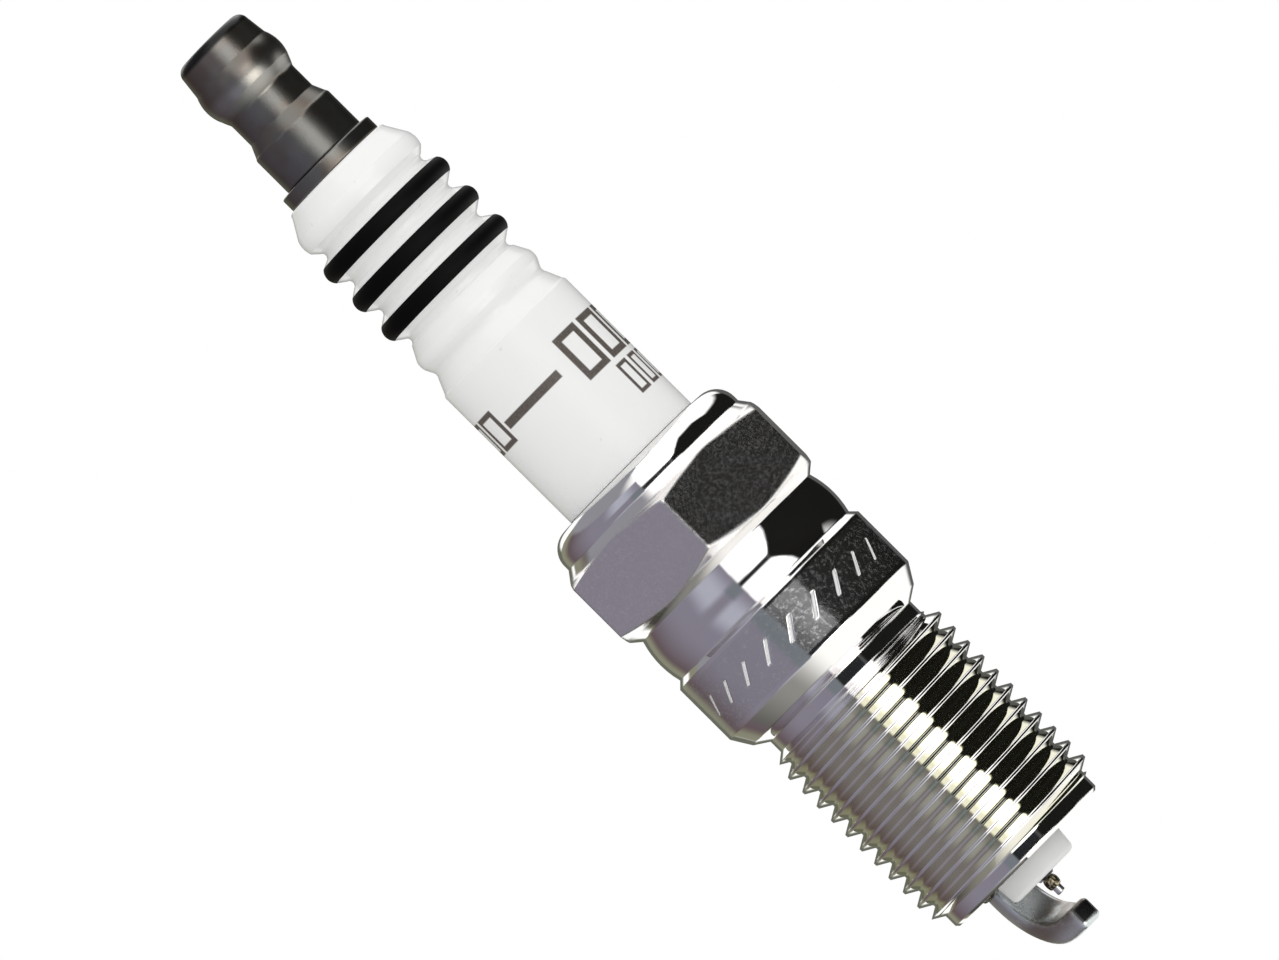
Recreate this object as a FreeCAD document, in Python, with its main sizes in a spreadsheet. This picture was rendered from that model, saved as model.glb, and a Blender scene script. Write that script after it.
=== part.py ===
import FreeCAD, Part
import Sketcher
import math
import os
from types import SimpleNamespace

from FreeCAD import Placement, Rotation, Vector

# Spark plug with a conical seat. The origin is on the plug's axis, in the plane where the
# seat's cone has its gauge diameter. +Z points to the terminal, so the thread is below zero.
# Levels are heights along that axis, and every length is in millimetres.

DRIVING = {
    # threaded end of the shell
    "thread_dia": 13.88,
    "thread_pitch": 1.25,
    "thread_reach": 17.5,
    "thread_phase": 0.115,
    "thread_top": -2.1,
    "thread_tail": 1.05,
    "thread_runout": 0.65,
    "pilot_dia": 12.24,
    "pilot_bevel": 0.2,
    "seat_gauge_dia": 14.8,
    "seat_half_angle": 31.5,
    "seat_foot": -0.6,
    "relief_top": -1.2,
    # collar, buckled ring and hexagon
    "collar_dia": 15.6,
    "collar_top": 5.0,
    "collar_bevel": 0.42,
    "buckle_low_dia": 14.76,
    "buckle_top_dia": 14.6,
    "buckle_round": 6.0,
    "hex_flats": 15.8,
    "hex_foot": 8.72,
    "hex_head": 15.1,
    "hex_bevel_start": 0.7,
    "hex_bevel_low_start": 0.55,
    "hex_bevel_end": 1.15,
    "hex_bevel_clear": 0.05,
    "lip_dia": 14.84,
    "lip_top": 16.97,
    "lip_round": 1.52,
    "lip_mouth_dia": 10.5,
    "lip_under": 15.82,
    # stamped strokes on the collar
    "stroke_level": 2.15,
    "stroke_tall": 1.3,
    "stroke_lean": 0.95,
    "stroke_wide": 0.24,
    "stroke_depth": 0.12,
    "stroke_span": 121.6,
    # bores of the shell
    "upper_bore_dia": 12.2,
    "upper_bore_foot": 2.6,
    "middle_bore_dia": 9.24,
    "ledge_top": -6.9,
    "ledge_bore_dia": 7.8,
    "ledge_foot": -8.6,
    "lower_bore_dia": 9.0,
    "washer_thick": 0.35,
    "washer_clear": 0.1,
    # insulator
    "ceramic_top": 42.75,
    "ceramic_crown_dia": 8.1,
    "ceramic_crown_round": 0.2,
    "ceramic_rib_dia": 9.84,
    "ceramic_groove_dia": 8.44,
    "ceramic_body_dia": 10.5,
    "ceramic_root_dia": 10.0,
    "ceramic_middle_dia": 12.0,
    "ceramic_waist_dia": 9.0,
    "body_top": 27.95,
    "body_foot": 17.05,
    "top_rib_level": 40.5,
    "top_rib_inset": 0.1,
    "top_rib_shoulder": 0.75,
    "top_rib_round": 1.6,
    "top_groove_drop": 0.13,
    "rib_half": 0.35,
    "rib_round": 1.2,
    "groove_half": 0.3,
    "groove_shallow": 0.2,
    "groove_round": 0.32,
    "upper_ring_level": 38.34,
    "ring_spacing": 2.52,
    "last_rib_level": 30.46,
    "last_rib_inset": 0.2,
    "last_dip_top": 0.75,
    "last_dip_foot": 1.35,
    "last_dip_round": 0.5,
    "body_edge_rise": 0.2,
    "body_edge_inset": 0.12,
    "body_edge_round": 0.4,
    "root_step": 0.15,
    "middle_top_gap": 0.45,
    "nose_root_dia": 7.2,
    "nose_end_dia": 5.1,
    "nose_round": 0.4,
    "nose_step": 0.3,
    "nose_seat_inset": 0.15,
    "nose_end": -19.04,
    "main_bore_dia": 4.0,
    "main_bore_foot": -2.2,
    "electrode_bore_dia": 2.6,
    "electrode_bore_top": -3.0,
    # black rings
    "ring_edge_dia": 9.9,
    "ring_seat_dia": 9.2,
    "ring_wide": 1.18,
    "ring_round": 0.82,
    "ring_clear": 0.01,
    # terminal
    "flange_dia": 7.4,
    "flange_top": 43.73,
    "flange_round": 0.12,
    "stud_dia": 3.8,
    "stud_thread_dia": 3.94,
    "stud_thread_pitch": 0.7,
    "stud_end": 52.7,
    "stud_bevel": 0.35,
    "stud_relief_top": 0.9,
    "stud_relief_foot": 0.6,
    "stud_thread_start": 0.75,
    "stud_thread_past": 0.4,
    "stud_foot": 13.0,
    "foot_dia": 3.5,
    "foot_groove_dia": 3.1,
    "foot_groove_half": 0.16,
    "foot_groove_flat": 0.06,
    "foot_bevel": 0.2,
    "foot_cone_start": 0.6,
    "foot_cone_end": 0.3,
    "nut_top": 53.95,
    "nut_dome": 0.68,
    "nut_dome_inset": 0.32,
    "nut_bulge_inset": 0.16,
    "nut_bulge_start": 2.0,
    "nut_bulge_end": 3.9,
    "nut_bulge_end_inset": 0.06,
    "nut_bulge_round": 2.6,
    "nut_neck_start": 4.55,
    "nut_neck_level": 4.85,
    "nut_neck_round": 0.5,
    "nut_neck_end": 6.45,
    "nut_body_start": 7.25,
    "nut_body_level": 7.5,
    "nut_body_round": 0.4,
    "nut_bevel": 0.1,
    "nut_bore_bevel": 0.25,
    "nut_drill_point": 0.5,
    "nut_bore_dia": 4.08,
    "nut_bore_top": 53.0,
    "nut_body_dia": 6.24,
    "nut_bulge_dia": 6.2,
    "nut_neck_dia": 5.34,
    # column inside the insulator
    "resistor_foot": 3.0,
    "resistor_top": 11.0,
    "upper_seal_top": 16.5,
    # centre electrode
    "head_dia": 3.7,
    "head_top": -1.2,
    "sheath_dia": 2.5,
    "sheath_end": -19.2,
    "sheath_point": 0.95,
    "sheath_clear": 0.06,
    "sheath_end_dia": 1.04,
    "core_dia": 1.4,
    "core_end": -17.0,
    "tip_dia": 0.6,
    "tip_end": -20.5,
    "tip_root": -18.8,
    "tip_shank_dia": 0.4,
    "tip_bevel": 0.06,
    "bead_end": -20.02,
    "bead_thin": 0.05,
    "bead_inset": 0.03,
    "bead_round": 1.2,
    # talc and its rings
    "wire_dia": 1.08,
    "lower_wire_level": 12.42,
    "upper_wire_level": 15.2,
    # ground strap
    "strap_angle": 118.0,
    "strap_thick": 1.6,
    "strap_wide": 2.6,
    "strap_end_wide": 1.4,
    "strap_reach": 5.9,
    "strap_round": 4.8,
    "strap_cut_margin": 0.5,
    "strap_past_axis": 0.35,
    "strap_taper_start": 2.4,
    "strap_outside": -23.18,
    "weld_tall": 0.22,
    "weld_spread": 0.28,
    "weld_rim_inset": 0.06,
    "weld_bore_gap": 0.02,
}

# rise for each millimetre of radius on the turned cones
THREAD_TOP_SLOPE = 0.8
THREAD_TAIL_SLOPE = 0.6
SHOULDER_SLOPE = 0.675
LIP_SLOPE = 0.6

RIM_FACTOR = 1.3                # outside of the hexagon cutter, in corner radii
CUT_ABOVE = 0.1                 # how far cutters start outside the metal
THREAD_DEPTH = 0.6134           # depth of a metric thread, in pitches
THREAD_FLAT = 1 / 16            # half of the flat at the root, in pitches
STROKES = 9
FOOT_GROOVES = 5
V_AXIS = -2                     # Sketcher's number for a sketch's own vertical axis
ORIGIN_POINT = (-1, 1)          # Sketcher's number for a sketch's origin


class Size:
    """A length together with the sheet expression that drives it."""

    def __init__(self, text, value):
        self.text = text
        self.value = value

    def __add__(self, other):
        other = as_size(other)
        return Size(f"({self.text} + {other.text})", self.value + other.value)

    def __sub__(self, other):
        other = as_size(other)
        return Size(f"({self.text} - {other.text})", self.value - other.value)

    def __mul__(self, factor):
        return Size(f"({self.text} * {factor})", self.value * factor)

    def __truediv__(self, divisor):
        return Size(f"({self.text} / {divisor})", self.value / divisor)

    def __neg__(self):
        return self * -1


def as_size(number):
    return number if isinstance(number, Size) else Size(str(number), float(number))


def make_sheet(doc):
    """Write the driving dimensions to a sheet and return them as sizes."""
    sheet = doc.addObject("Spreadsheet::Sheet", "Dims")
    for row, (alias, value) in enumerate(DRIVING.items(), start=1):
        sheet.set(f"A{row}", alias.replace("_", " "))
        sheet.set(f"B{row}", str(value))
        sheet.setAlias(f"B{row}", alias)
    doc.recompute()
    return SimpleNamespace(**{alias: Size(f"Dims.{alias}", value) for alias, value in DRIVING.items()})


def origin_feature(body, role):
    return next(feature for feature in body.Origin.OriginFeatures if feature.Role == role)


def arc_through(start, end, radius):
    """Short arc from start to end. A positive radius bulges to the left of the way."""
    chord = end - start
    half = chord.Length / 2
    sagitta = abs(radius) - math.sqrt(radius * radius - half * half)
    left = Vector(-chord.y, chord.x, 0).normalize()
    middle = start + chord * 0.5 + left * math.copysign(sagitta, radius)
    return Part.Arc(start, middle, end)


def draw_outline(sketch, outline):
    """Draw a closed outline and drive each corner from the sheet.

    A corner is (across, up), or (across, up, radius) where the way to it is an arc.
    """
    corners = [(as_size(corner[0]), as_size(corner[1])) for corner in outline]
    places = [Vector(across.value, up.value, 0) for across, up in corners]
    edges = []
    for number, place in enumerate(places):
        following = (number + 1) % len(places)
        radius = outline[following][2] if len(outline[following]) > 2 else None
        if radius is None:
            geometry = Part.LineSegment(place, places[following])
        else:
            geometry = arc_through(place, places[following], as_size(radius).value)
        index = sketch.addGeometry(geometry, False)
        starts_here = sketch.getPoint(index, 1).distanceToPoint(place) < 1e-6
        edges.append((index, 1, 2) if starts_here else (index, 2, 1))
        if radius is not None:
            size = as_size(radius)
            drive(sketch, ("Radius", index), size if size.value > 0 else -size)
    for number, (index, first, last) in enumerate(edges):
        after, after_first, _ = edges[(number + 1) % len(edges)]
        sketch.addConstraint(Sketcher.Constraint("Coincident", index, last, after, after_first))
        across, up = corners[number]
        if across.value == 0:
            sketch.addConstraint(Sketcher.Constraint("PointOnObject", index, first, V_AXIS))
        else:
            drive(sketch, ("DistanceX", *ORIGIN_POINT, index, first), across)
        drive(sketch, ("DistanceY", *ORIGIN_POINT, index, first), up)


def drive(sketch, constraint, size):
    """Add a dimension to a sketch and bind it to the sheet."""
    number = sketch.addConstraint(Sketcher.Constraint(*constraint, size.value))
    sketch.setExpression(f"Constraints[{number}]", size.text)


def new_body(doc, label):
    body = doc.addObject("PartDesign::Body", label)
    body.Label = label
    return body


def new_sketch(body, name, role, outline, offset=None):
    """Sketch on one of the body's own origin planes, with one closed outline."""
    sketch = body.newObject("Sketcher::SketchObject", name)
    sketch.AttachmentSupport = (origin_feature(body, role), [""])
    sketch.MapMode = "FlatFace"
    if offset is not None:
        sketch.AttachmentOffset = offset
    draw_outline(sketch, outline)
    return sketch


def lathe(doc, label, outline):
    """Body turned from the half section that the outline gives as (radius, level) corners."""
    body = new_body(doc, label)
    section = new_sketch(body, f"{label}_section", "XZ_Plane", outline)
    turned = body.newObject("PartDesign::Revolution", f"{label}_turned")
    turned.Profile = section
    turned.ReferenceAxis = (section, ["V_Axis"])
    turned.Angle = 360
    doc.recompute()
    return body


def cut_thread(doc, body, dia, pitch, start, run):
    """Cut a right-hand 60 degree thread from the level start, up over the length run."""
    flat = pitch * THREAD_FLAT
    depth = pitch * THREAD_DEPTH
    flank = (depth + CUT_ABOVE) * math.tan(math.radians(30))
    outside = dia / 2 + CUT_ABOVE
    root = dia / 2 - depth
    groove = [
        (root, start - flat),
        (outside, start - flat - flank),
        (outside, start + flat + flank),
        (root, start + flat),
    ]
    profile = new_sketch(body, f"{body.Label}_groove", "XZ_Plane", groove)
    doc.recompute()
    before = body.Shape.Volume
    helix = body.newObject("PartDesign::SubtractiveHelix", f"{body.Label}_thread")
    helix.Profile = profile
    helix.ReferenceAxis = (profile, ["V_Axis"])
    helix.Mode = 0
    helix.setExpression("Pitch", pitch.text)
    helix.setExpression("Height", run.text)
    doc.recompute()
    if not body.Shape.Volume < before:
        raise RuntimeError(f"the thread of {body.Label} cut nothing")


def build_shell(doc, d):
    seat_slope = math.tan(math.radians(DRIVING["seat_half_angle"]))
    gauge = d.seat_gauge_dia / 2
    collar = d.collar_dia / 2
    pilot = d.pilot_dia / 2
    thread = d.thread_dia / 2
    corner = d.hex_flats / math.sqrt(3)
    shoulder = d.hex_flats / 2 + d.hex_bevel_clear
    foot = -d.thread_reach
    ledge_bore = d.ledge_bore_dia / 2
    middle_bore = d.middle_bore_dia / 2
    lower_bore = d.lower_bore_dia / 2
    upper_bore = d.upper_bore_dia / 2
    mouth = d.lip_mouth_dia / 2
    body = lathe(doc, "shell", [
        (mouth, d.lip_top),
        (d.lip_dia / 2 - d.lip_round, d.lip_top),
        (d.lip_dia / 2, d.lip_top - d.lip_round, d.lip_round),
        (d.lip_dia / 2, d.hex_head),
        (shoulder, d.hex_head - d.hex_bevel_start),
        (corner, d.hex_head - d.hex_bevel_end),
        (corner, d.hex_foot + d.hex_bevel_end),
        (shoulder, d.hex_foot + d.hex_bevel_low_start),
        (d.buckle_top_dia / 2, d.hex_foot),
        (d.buckle_low_dia / 2, d.collar_top + d.collar_bevel, d.buckle_round),
        (collar, d.collar_top),
        (collar, (collar - gauge) / seat_slope),
        (gauge + d.seat_foot * seat_slope, d.seat_foot),
        (pilot, d.relief_top),
        (pilot, d.thread_top),
        (thread, d.thread_top - (thread - pilot) * THREAD_TOP_SLOPE),
        (thread, foot + d.thread_tail + (thread - pilot) * THREAD_TAIL_SLOPE),
        (pilot, foot + d.thread_tail),
        (pilot, foot + d.pilot_bevel),
        (pilot - d.pilot_bevel, foot),
        (lower_bore, foot),
        (lower_bore, d.ledge_foot - (lower_bore - ledge_bore)),
        (ledge_bore, d.ledge_foot),
        (ledge_bore, d.ledge_top - (middle_bore - ledge_bore)),
        (middle_bore, d.ledge_top),
        (middle_bore, d.upper_bore_foot - (upper_bore - middle_bore) * SHOULDER_SLOPE),
        (upper_bore, d.upper_bore_foot),
        (upper_bore, d.lip_under),
        (mouth, d.lip_under + (upper_bore - mouth) * LIP_SLOPE),
    ])
    cut_hexagon(doc, body, d, corner)
    stamp_strokes(doc, body, d)
    start = foot + d.thread_phase
    run = d.relief_top - d.thread_runout - start
    cut_thread(doc, body, d.thread_dia, d.thread_pitch, start, run)
    return body


def cut_hexagon(doc, body, d, corner):
    """Mill the six flats. Two corners lie on the Y axis, so two flats face +X and -X."""
    half = d.hex_flats / 2
    outline = [
        (0, corner),
        (-half, corner / 2),
        (-half, -corner / 2),
        (0, -corner),
        (half, -corner / 2),
        (half, corner / 2),
    ]
    sketch = new_sketch(body, "shell_hexagon", "XY_Plane", outline)
    rim = sketch.addGeometry(Part.Circle(Vector(0, 0, 0), Vector(0, 0, 1), corner.value * RIM_FACTOR), False)
    sketch.addConstraint(Sketcher.Constraint("Coincident", rim, 3, *ORIGIN_POINT))
    drive(sketch, ("Radius", rim), corner * RIM_FACTOR)
    doc.recompute()
    before = body.Shape.Volume
    flats = body.newObject("PartDesign::Pocket", "shell_flats")
    flats.Profile = sketch
    flats.Type = "ThroughAll"
    flats.Midplane = True
    doc.recompute()
    if not body.Shape.Volume < before:
        raise RuntimeError("the hexagon cut nothing")


def stamp_strokes(doc, body, d):
    """Plain slanted strokes pressed into the collar, evenly spaced about the -Y side."""
    plane_radius = DRIVING["collar_dia"] / 2 + CUT_ABOVE
    turn = Rotation(Vector(0, 1, 0), -DRIVING["stroke_span"] / 2)
    offset = Placement(turn.multVec(Vector(0, 0, plane_radius)), turn)
    half = d.stroke_lean / 2
    top = d.stroke_level + d.stroke_tall
    outline = [
        (-half - d.stroke_wide / 2, d.stroke_level),
        (-half + d.stroke_wide / 2, d.stroke_level),
        (half + d.stroke_wide / 2, top),
        (half - d.stroke_wide / 2, top),
    ]
    sketch = new_sketch(body, "shell_stroke", "XZ_Plane", outline, offset)
    doc.recompute()
    before = body.Shape.Volume
    stroke = body.newObject("PartDesign::Pocket", "shell_stamped_stroke")
    stroke.Profile = sketch
    stroke.Type = "Length"
    stroke.setExpression("Length", (d.stroke_depth + CUT_ABOVE).text)
    doc.recompute()
    row = body.newObject("PartDesign::PolarPattern", "shell_stamped_row")
    row.Originals = [stroke]
    row.Axis = (origin_feature(body, "Z_Axis"), [""])
    row.setExpression("Angle", d.stroke_span.text)
    row.Occurrences = STROKES
    body.Tip = row
    doc.recompute()
    if not body.Shape.Volume < before:
        raise RuntimeError("the strokes cut nothing")


def ring_levels(d):
    return {
        "rib_ring_upper": d.upper_ring_level,
        "rib_ring_middle": d.upper_ring_level - d.ring_spacing,
        "rib_ring_lower": d.upper_ring_level - d.ring_spacing * 2,
    }


def insulator_ribs(d):
    """The ribbed neck, from the crown down to the smooth body."""
    rib = d.ceramic_rib_dia / 2
    shallow = d.ceramic_groove_dia / 2 + d.groove_shallow
    seat = d.ring_seat_dia / 2
    seat_half = d.ring_wide / 2 + d.ring_clear
    crown = d.ceramic_crown_dia / 2
    top_rib = rib - d.top_rib_inset
    last_dip = rib - d.last_rib_inset
    outline = [
        (crown - d.ceramic_crown_round, d.ceramic_top),
        (crown, d.ceramic_top - d.ceramic_crown_round, d.ceramic_crown_round),
        (top_rib, d.top_rib_level + d.top_rib_shoulder),
        (top_rib, d.top_rib_level - d.rib_half, d.top_rib_round),
    ]
    level = d.upper_ring_level + d.ring_spacing / 2 - d.top_groove_drop
    for centre in ring_levels(d).values():
        outline += [
            (shallow, level + d.groove_half),
            (shallow, level - d.groove_half, -d.groove_round),
            (rib, centre + seat_half),
            (seat, centre + seat_half),
            (seat, centre - seat_half),
            (rib, centre - seat_half),
        ]
        level = centre - d.ring_spacing / 2
    outline += [
        (shallow, level + d.groove_half),
        (shallow, level - d.groove_half, -d.groove_round),
        (rib, d.last_rib_level + d.rib_half),
        (rib, d.last_rib_level - d.rib_half, d.rib_round),
        (last_dip, d.last_rib_level - d.last_dip_top),
        (last_dip, d.last_rib_level - d.last_dip_foot, -d.last_dip_round),
        (d.ceramic_body_dia / 2 - d.body_edge_inset, d.body_top + d.body_edge_rise),
    ]
    return outline


def build_insulator(doc, d):
    body_radius = d.ceramic_body_dia / 2
    root = d.ceramic_root_dia / 2
    middle = d.ceramic_middle_dia / 2
    waist = d.ceramic_waist_dia / 2
    bore = d.main_bore_dia / 2
    small_bore = d.electrode_bore_dia / 2
    nose_end = d.nose_end_dia / 2
    middle_top = d.upper_bore_foot + d.middle_top_gap
    seat_inner = d.ledge_bore_dia / 2 - d.nose_seat_inset
    seat_level = d.ledge_top - d.middle_bore_dia / 2 + d.washer_thick
    shoulder_level = d.lower_wire_level - d.wire_dia / 2
    outline = insulator_ribs(d) + [
        (body_radius, d.body_top, d.body_edge_round),
        (body_radius, d.body_foot),
        (root, d.body_foot - d.root_step),
        (root, shoulder_level),
        (middle, shoulder_level - (middle - root)),
        (middle, middle_top),
        (waist, middle_top - (middle - waist) * SHOULDER_SLOPE),
        (waist, seat_level + waist),
        (seat_inner, seat_level + seat_inner),
        (d.nose_root_dia / 2, seat_level + seat_inner - d.nose_step),
        (nose_end, d.nose_end + d.nose_round),
        (nose_end - d.nose_round, d.nose_end, d.nose_round),
        (small_bore, d.nose_end),
        (small_bore, d.electrode_bore_top),
        (bore, d.main_bore_foot),
        (bore, d.ceramic_top),
    ]
    return lathe(doc, "insulator", outline)


def build_ring(doc, d, label, centre):
    half = d.ring_wide / 2
    return lathe(doc, label, [
        (d.ring_seat_dia / 2, centre + half),
        (d.ring_edge_dia / 2, centre + half),
        (d.ring_edge_dia / 2, centre - half, d.ring_round),
        (d.ring_seat_dia / 2, centre - half),
    ])


def build_terminal_stud(doc, d):
    shank = d.stud_dia / 2
    foot = d.foot_dia / 2
    groove = d.foot_groove_dia / 2
    thread = d.stud_thread_dia / 2
    flange = d.flange_dia / 2
    rounding = d.flange_round
    relief = thread - d.stud_bevel
    outline = [
        (0, d.stud_end),
        (relief, d.stud_end),
        (thread, d.stud_end - d.stud_bevel),
        (thread, d.flange_top + d.stud_relief_top),
        (relief, d.flange_top + d.stud_relief_foot),
        (relief, d.flange_top),
        (flange - rounding, d.flange_top),
        (flange, d.flange_top - rounding, rounding),
        (flange, d.ceramic_top + rounding),
        (flange - rounding, d.ceramic_top, rounding),
        (shank, d.ceramic_top),
        (shank, d.upper_seal_top + d.foot_cone_start),
        (foot, d.upper_seal_top + d.foot_cone_end),
    ]
    pitch = (d.upper_seal_top - d.stud_foot) / (FOOT_GROOVES + 1)
    for number in range(FOOT_GROOVES):
        level = d.upper_seal_top - pitch * (number + 1)
        outline += [
            (foot, level + d.foot_groove_half),
            (groove, level + d.foot_groove_flat),
            (groove, level - d.foot_groove_flat),
            (foot, level - d.foot_groove_half),
        ]
    outline += [
        (foot, d.stud_foot + d.foot_bevel),
        (foot - d.foot_bevel, d.stud_foot),
        (0, d.stud_foot),
    ]
    body = lathe(doc, "terminal_stud", outline)
    start = d.flange_top + d.stud_thread_start
    run = d.stud_end - start + d.stud_thread_past
    cut_thread(doc, body, d.stud_thread_dia, d.stud_thread_pitch, start, run)
    return body


def build_terminal_nut(doc, d):
    top = d.nut_top
    neck = d.nut_neck_dia / 2
    bulge = d.nut_bulge_dia / 2
    body_radius = d.nut_body_dia / 2
    bore = d.nut_bore_dia / 2
    return lathe(doc, "terminal_nut", [
        (0, top),
        (bulge - d.nut_dome_inset - d.nut_dome, top),
        (bulge - d.nut_dome_inset, top - d.nut_dome, d.nut_dome),
        (bulge - d.nut_bulge_inset, top - d.nut_bulge_start),
        (bulge - d.nut_bulge_end_inset, top - d.nut_bulge_end, d.nut_bulge_round),
        (neck + d.nut_bevel, top - d.nut_neck_start),
        (neck, top - d.nut_neck_level, -d.nut_neck_round),
        (neck, top - d.nut_neck_end),
        (body_radius - d.nut_bevel, top - d.nut_body_start),
        (body_radius, top - d.nut_body_level, d.nut_body_round),
        (body_radius, d.flange_top + d.nut_bevel),
        (body_radius - d.nut_bevel, d.flange_top),
        (bore + d.nut_bore_bevel, d.flange_top),
        (bore, d.flange_top + d.nut_bore_bevel),
        (bore, d.nut_bore_top),
        (0, d.nut_bore_top + d.nut_drill_point),
    ])


def build_column(doc, d):
    """The conductive column between the stud and the centre electrode."""
    bore = d.main_bore_dia / 2
    small_bore = d.electrode_bore_dia / 2
    head = d.head_dia / 2
    fall = (DRIVING["main_bore_foot"] - DRIVING["electrode_bore_top"]) * 2
    fall = fall / (DRIVING["main_bore_dia"] - DRIVING["electrode_bore_dia"])
    head_seat = d.main_bore_foot - (bore - head) * fall
    lathe(doc, "lower_glass_seal", [
        (0, d.resistor_foot),
        (bore, d.resistor_foot),
        (bore, d.main_bore_foot),
        (head, head_seat),
        (head, d.head_top),
        (0, d.head_top),
    ])
    lathe(doc, "resistor_core", [
        (0, d.resistor_top),
        (bore, d.resistor_top),
        (bore, d.resistor_foot),
        (0, d.resistor_foot),
    ])
    sheath = d.sheath_dia / 2
    core = d.core_dia / 2
    tip = d.tip_dia / 2
    shank = d.tip_shank_dia / 2
    end = d.sheath_end_dia / 2
    lathe(doc, "electrode_sheath", [
        (core, d.head_top),
        (head, d.head_top),
        (head, head_seat),
        (small_bore, d.electrode_bore_top),
        (sheath, d.electrode_bore_top - d.sheath_clear),
        (sheath, d.sheath_end + d.sheath_point),
        (end, d.sheath_end),
        (shank, d.sheath_end),
        (shank, d.tip_root),
        (0, d.tip_root),
        (0, d.core_end),
        (core, d.core_end),
    ])
    lathe(doc, "electrode_copper_core", [
        (0, d.head_top),
        (core, d.head_top),
        (core, d.core_end),
        (0, d.core_end),
    ])
    lathe(doc, "iridium_tip", [
        (0, d.tip_root),
        (shank, d.tip_root),
        (shank, d.bead_end),
        (tip, d.bead_end),
        (tip, d.tip_end + d.tip_bevel),
        (tip - d.tip_bevel, d.tip_end),
        (0, d.tip_end),
    ])
    lathe(doc, "tip_weld_bead", [
        (shank, d.sheath_end),
        (end - d.bead_inset, d.sheath_end),
        (tip + d.bead_thin, d.bead_end, d.bead_round),
        (shank, d.bead_end),
    ])


def build_upper_glass_seal(doc, d, stud):
    """Glass that fills the bore round the stud's grooved foot."""
    fill = doc.addObject("Part::Cylinder", "upper_glass_fill")
    fill.setExpression("Radius", (d.main_bore_dia / 2).text)
    fill.setExpression("Height", (d.upper_seal_top - d.resistor_top).text)
    fill.setExpression("Placement.Base.z", d.resistor_top.text)
    seal = doc.addObject("Part::Cut", "upper_glass_seal")
    seal.Base = fill
    seal.Tool = stud
    seal.Label = "upper_glass_seal"


def build_packing(doc, d):
    """Talc between two wire rings, under the crimped lip, and the washer on the ledge."""
    inner = d.ceramic_root_dia / 2
    outer = d.upper_bore_dia / 2
    wires = {"lower_packing_ring": d.lower_wire_level, "upper_packing_ring": d.upper_wire_level}
    for label, level in wires.items():
        ring = doc.addObject("Part::Torus", label)
        ring.Label = label
        ring.setExpression("Radius1", ((inner + outer) / 2).text)
        ring.setExpression("Radius2", (d.wire_dia / 2).text)
        ring.setExpression("Placement.Base.z", level.text)
    top = d.upper_wire_level - d.wire_dia / 2
    foot = d.lower_wire_level + d.wire_dia / 2
    lathe(doc, "talc_fill", [(inner, top), (outer, top), (outer, foot), (inner, foot)])
    ledge = d.ledge_top - d.middle_bore_dia / 2
    wide = d.ceramic_waist_dia / 2
    narrow = d.ledge_bore_dia / 2 + d.washer_clear
    lathe(doc, "seat_washer", [
        (narrow, ledge + narrow + d.washer_thick),
        (wide, ledge + wide + d.washer_thick),
        (wide, ledge + wide),
        (narrow, ledge + narrow),
    ])


def build_ground_electrode(doc, d):
    """Strap bent over the tip. Its own X axis runs from the plug's axis to the weld."""
    body = new_body(doc, "ground_electrode")
    outside = d.strap_reach
    inside = d.strap_reach - d.strap_thick
    low = d.strap_outside
    high = d.strap_outside + d.strap_thick
    end = -d.strap_past_axis
    bend = d.strap_round
    side = new_sketch(body, "strap_side", "XZ_Plane", [
        (outside, -d.thread_reach),
        (outside, low + bend),
        (outside - bend, low, bend),
        (end, low),
        (end, high),
        (outside - bend, high),
        (inside, low + bend, d.strap_thick - bend),
        (inside, -d.thread_reach),
    ])
    strap = body.newObject("PartDesign::Pad", "strap_blank")
    strap.Profile = side
    strap.Midplane = True
    strap.setExpression("Length", d.strap_wide.text)
    doc.recompute()
    before = body.Shape.Volume
    past_end = end - d.strap_cut_margin
    for name, hand in (("left", 1), ("right", -1)):
        half = d.strap_wide * (0.5 * hand)
        beyond = half + d.strap_cut_margin * hand
        taper = new_sketch(body, f"strap_taper_{name}", "XY_Plane", [
            (past_end, d.strap_end_wide * (0.5 * hand)),
            (d.strap_taper_start, half),
            (d.strap_taper_start, beyond),
            (past_end, beyond),
        ])
        cut = body.newObject("PartDesign::Pocket", f"strap_cut_{name}")
        cut.Profile = taper
        cut.Type = "ThroughAll"
        cut.Midplane = True
        doc.recompute()
    if not body.Shape.Volume < before:
        raise RuntimeError("the strap's taper cut nothing")
    body.setExpression("Placement.Rotation.Angle", d.strap_angle.text)
    return body


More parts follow.
